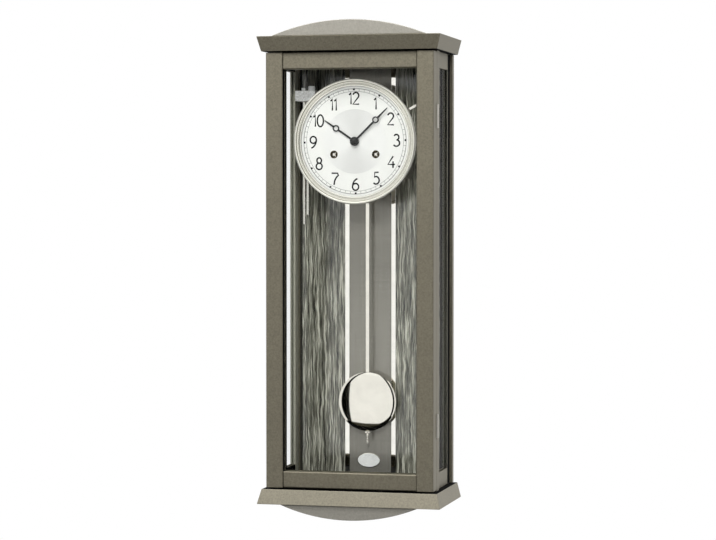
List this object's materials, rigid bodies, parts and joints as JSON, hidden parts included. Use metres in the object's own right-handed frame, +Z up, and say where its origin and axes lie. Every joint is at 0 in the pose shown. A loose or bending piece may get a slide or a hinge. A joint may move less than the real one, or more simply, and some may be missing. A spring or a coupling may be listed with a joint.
{
  "type": "regulator wall clock",
  "caption": "Slim grey lacquered wall clock with a glazed hinged door, round dial, swinging pendulum, spring driven movement and rod gong.",
  "frame": {"origin": "middle of the back board's rear face, on the wall", "axes": "+Z up, +Y into the wall, so the dial faces -Y, and +X to the viewer's right"},
  "size_m": [0.2492, 0.1419, 0.6613],
  "materials": {
    "lacquer_grey": "metallic taupe grey lacquer on board, semi gloss",
    "lacquer_light": "light metallic grey lacquer on board, semi gloss",
    "lacquer_black": "black stain on board, matt",
    "veneer_dark": "dark grey streaked veneer, satin",
    "panel_satin": "satin grey sheet",
    "mirror_strip": "polished bright strip",
    "clear_glass": "clear mineral glass, polished",
    "nickel": "polished nickel plate",
    "bezel_silver": "polished silver coloured ring",
    "dial_silver": "silver white satin dial",
    "hand_black": "black enamel",
    "brass": "rolled and turned brass",
    "steel": "bright steel",
    "steel_black": "black painted steel",
    "cast_silver": "silver coloured casting"
  },
  "bodies": {
    "case": {"back_board": "lacquer_grey", "wall_hanger": "steel", "centre_panel": "panel_satin", "bright_strip_left": "mirror_strip", "bright_strip_right": "mirror_strip", "veneer_panel_left": "veneer_dark", "veneer_panel_right": "veneer_dark", "front_post_left": "lacquer_grey", "front_post_right": "lacquer_grey", "rear_stile_left": "lacquer_black", "rear_stile_right": "lacquer_black", "side_rail_top_left": "lacquer_grey", "side_rail_top_right": "lacquer_grey", "side_rail_bottom_left": "lacquer_grey", "side_rail_bottom_right": "lacquer_grey", "side_glass_left": "clear_glass", "side_glass_right": "clear_glass", "top_board": "lacquer_black", "bottom_board": "lacquer_black", "cornice": "lacquer_grey", "plinth": "lacquer_grey", "crest": "lacquer_light", "apron": "lacquer_light", "hinge_case_upper": "nickel", "hinge_case_lower": "nickel", "movement_bracket": "steel_black", "front_plate": "brass", "back_plate": "brass", "dial_plate": "dial_silver", "dial_bezel": "bezel_silver", "suspension_cock": "brass", "gong_block": "cast_silver", "gong_rod_long": "steel", "gong_rod_short": "steel"},
    "door": {"door_stile_left": "lacquer_grey", "door_stile_right": "lacquer_grey", "door_rail_top": "lacquer_grey", "door_rail_bottom": "lacquer_grey", "door_glass": "clear_glass", "hinge_door_upper": "nickel", "hinge_door_lower": "nickel"},
    "minute_group": {"minute_hand": "hand_black", "cannon_pinion": "brass"},
    "hour_group": {"hour_hand": "hand_black", "hour_wheel": "brass"},
    "minute_wheel_body": {"minute_wheel": "brass"},
    "centre_group": {"centre_wheel": "brass"},
    "third_group": {"third_wheel": "brass"},
    "escape_group": {"escape_wheel": "brass"},
    "going_barrel_body": {"going_barrel": "brass"},
    "strike_barrel_body": {"strike_barrel": "brass"},
    "winding_going_body": {"winding_arbor_going": "steel"},
    "winding_strike_body": {"winding_arbor_strike": "steel"},
    "anchor_body": {"anchor": "steel"},
    "pendulum": {"pendulum_rod": "nickel"},
    "bob": {"pendulum_bob": "nickel"},
    "nut": {"rating_nut": "nickel"},
    "hammer_front_body": {"hammer_front": "steel"},
    "hammer_rear_body": {"hammer_rear": "steel"},
    "lever": {"strike_lever": "steel"}
  },
  "joints": [
    {"name": "door_hinge", "type": "hinge", "parent": "case", "child": "door", "pos_m": [0.114, -0.1114, 0], "axis": [0, 0, 1], "range_deg": [0, 110]},
    {"name": "pendulum_swing", "type": "hinge", "parent": "case", "child": "pendulum", "pos_m": [0, -0.028, 0.219], "axis": [0, 1, 0], "range_deg": [-4, 4]},
    {"name": "anchor_rock", "type": "hinge", "parent": "case", "child": "anchor_body", "pos_m": [0, -0.055, 0.219], "axis": [0, 1, 0], "range_deg": [-4, 4]},
    {"name": "bob_slide", "type": "slide", "parent": "pendulum", "child": "bob", "axis": [0, 0, 1], "range_m": [-0.0024, 0.0024]},
    {"name": "rating_nut_turn", "type": "hinge", "parent": "bob", "child": "nut", "pos_m": [0, -0.028, -0.2211], "axis": [0, 0, 1], "range_deg": [-1081, 1081]},
    {"name": "minute_turn", "type": "hinge", "parent": "case", "child": "minute_group", "pos_m": [0, -0.1, 0.172], "axis": [0, 1, 0], "continuous": true},
    {"name": "hour_turn", "type": "hinge", "parent": "case", "child": "hour_group", "pos_m": [0, -0.1, 0.172], "axis": [0, 1, 0], "continuous": true},
    {"name": "minute_wheel_turn", "type": "hinge", "parent": "case", "child": "minute_wheel_body", "pos_m": [0, -0.095, 0.1835], "axis": [0, 1, 0], "continuous": true},
    {"name": "escape_turn", "type": "hinge", "parent": "case", "child": "escape_group", "pos_m": [0, -0.07, 0.202], "axis": [0, 1, 0], "continuous": true},
    {"name": "third_turn", "type": "hinge", "parent": "case", "child": "third_group", "pos_m": [-0.01, -0.07, 0.187], "axis": [0, 1, 0], "continuous": true},
    {"name": "centre_turn", "type": "hinge", "parent": "case", "child": "centre_group", "pos_m": [0, -0.07, 0.172], "axis": [0, 1, 0], "continuous": true},
    {"name": "going_barrel_turn", "type": "hinge", "parent": "case", "child": "going_barrel_body", "pos_m": [0.0286, -0.06, 0.1547], "axis": [0, 1, 0], "continuous": true},
    {"name": "strike_barrel_turn", "type": "hinge", "parent": "case", "child": "strike_barrel_body", "pos_m": [-0.0286, -0.06, 0.1547], "axis": [0, 1, 0], "continuous": true},
    {"name": "winding_going_turn", "type": "hinge", "parent": "case", "child": "winding_going_body", "pos_m": [0.0286, -0.075, 0.1547], "axis": [0, 1, 0], "continuous": true},
    {"name": "winding_strike_turn", "type": "hinge", "parent": "case", "child": "winding_strike_body", "pos_m": [-0.0286, -0.075, 0.1547], "axis": [0, 1, 0], "continuous": true},
    {"name": "hammer_front_lift", "type": "hinge", "parent": "case", "child": "hammer_front_body", "pos_m": [-0.05, -0.05, 0.172], "axis": [0, 1, 0], "range_deg": [0, 12], "stiffness_Nm_per_rad": 0.004, "springref_deg": -11.46},
    {"name": "hammer_rear_lift", "type": "hinge", "parent": "case", "child": "hammer_rear_body", "pos_m": [-0.05, -0.0325, 0.172], "axis": [0, 1, 0], "range_deg": [0, 12], "stiffness_Nm_per_rad": 0.004, "springref_deg": -11.46},
    {"name": "lever_turn", "type": "hinge", "parent": "case", "child": "lever", "pos_m": [0.045, -0.095, 0.199], "axis": [0, 1, 0], "range_deg": [-8, 8]}
  ],
  "couplings": [
    {"joint": "anchor_rock", "follows": "pendulum_swing", "ratio": 1},
    {"joint": "rating_nut_turn", "follows": "bob_slide", "rad_per_m": 7854},
    {"joint": "hour_turn", "follows": "minute_turn", "ratio": 0.083333},
    {"joint": "minute_wheel_turn", "follows": "minute_turn", "ratio": -0.33333},
    {"joint": "third_turn", "follows": "escape_turn", "ratio": -0.125},
    {"joint": "centre_turn", "follows": "escape_turn", "ratio": 0.015625},
    {"joint": "going_barrel_turn", "follows": "escape_turn", "ratio": -0.0019531}
  ]
}
